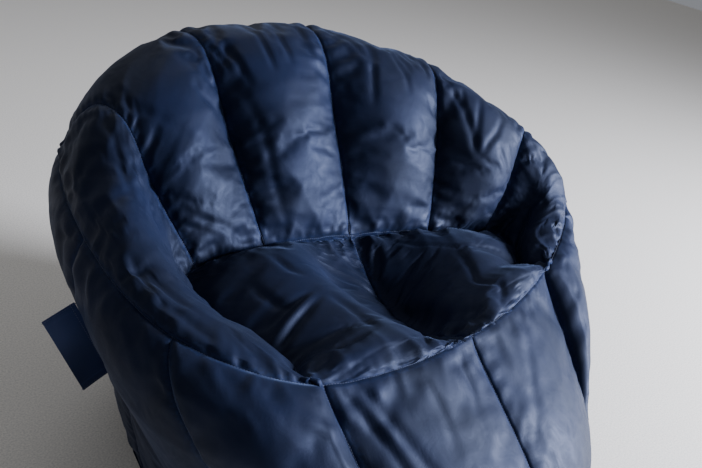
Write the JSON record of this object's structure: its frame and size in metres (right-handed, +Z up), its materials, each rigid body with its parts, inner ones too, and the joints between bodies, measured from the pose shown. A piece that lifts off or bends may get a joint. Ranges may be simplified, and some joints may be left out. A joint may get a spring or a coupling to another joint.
{
  "type": "bean bag chair",
  "caption": "Sewn fabric bucket seat with a channelled back and rolled arms, filled with loose beads, with two zips in its base.",
  "frame": {"origin": "centre of the bounding box at the resting face", "axes": "+Z up, the sitter faces -Y, +X is the sitter's left, along the width"},
  "size_m": [0.8664, 0.8326, 0.6306],
  "materials": {
    "cover": "navy woven polyester, soft sheen",
    "lining": "plain woven lining",
    "beads": "loose expanded polystyrene beads",
    "zip_tape": "woven tape",
    "zip_nylon": "nylon coil",
    "zip_metal": "dark plated zinc",
    "label": "woven satin label, plain"
  },
  "bodies": {
    "chair": {"front_panel_left": "cover", "front_panel_right": "cover", "side_front_panel_left": "cover", "side_front_panel_right": "cover", "side_rear_panel_left": "cover", "side_rear_panel_right": "cover", "back_panel_left": "cover", "back_panel_right": "cover", "arm_band_left": "cover", "arm_band_right": "cover", "back_channel_1": "cover", "back_channel_2": "cover", "back_channel_3": "cover", "back_channel_4": "cover", "seat_panel_left": "cover", "seat_panel_right": "cover", "base_panel": "cover", "arm_divider_left": "lining", "arm_divider_right": "lining", "back_divider_left": "lining", "back_divider_right": "lining", "channel_baffle_1": "lining", "channel_baffle_2": "lining", "channel_baffle_3": "lining", "channel_baffle_4": "lining", "channel_baffle_5": "lining", "inner_closure_panel": "lining", "arm_fill_left": "beads", "arm_fill_right": "beads", "channel_fill_1": "beads", "channel_fill_2": "beads", "channel_fill_3": "beads", "channel_fill_4": "beads", "seat_fill": "beads", "outer_zip_tape_front": "zip_tape", "outer_zip_tape_rear": "zip_tape", "inner_zip_tape_front": "zip_tape", "inner_zip_tape_rear": "zip_tape", "outer_zip_chain_front": "zip_nylon", "outer_zip_chain_rear": "zip_nylon", "inner_zip_chain_front": "zip_nylon", "inner_zip_chain_rear": "zip_nylon", "outer_zip_stop_left": "zip_metal", "outer_zip_stop_right": "zip_metal", "inner_zip_stop_left": "zip_metal", "inner_zip_stop_right": "zip_metal"},
    "outer_slider": {"outer_zip_slider": "zip_metal"},
    "inner_slider": {"inner_zip_slider": "zip_metal"},
    "label": {"side_label": "label"}
  },
  "joints": [
    {"name": "outer_zip_slide", "type": "slide", "parent": "chair", "child": "outer_slider", "axis": [1, 0, 0], "range_m": [-0.326, 0]},
    {"name": "inner_zip_slide", "type": "slide", "parent": "chair", "child": "inner_slider", "axis": [1, 0, 0], "range_m": [-0.266, 0]},
    {"name": "side_label_flap", "type": "hinge", "parent": "chair", "child": "label", "pos_m": [-0.36895, 0.05119, 0.26219], "axis": [-0.4129, 0.1234, 0.9024], "range_deg": [-50, 50], "stiffness_Nm_per_rad": 0.004}
  ]
}
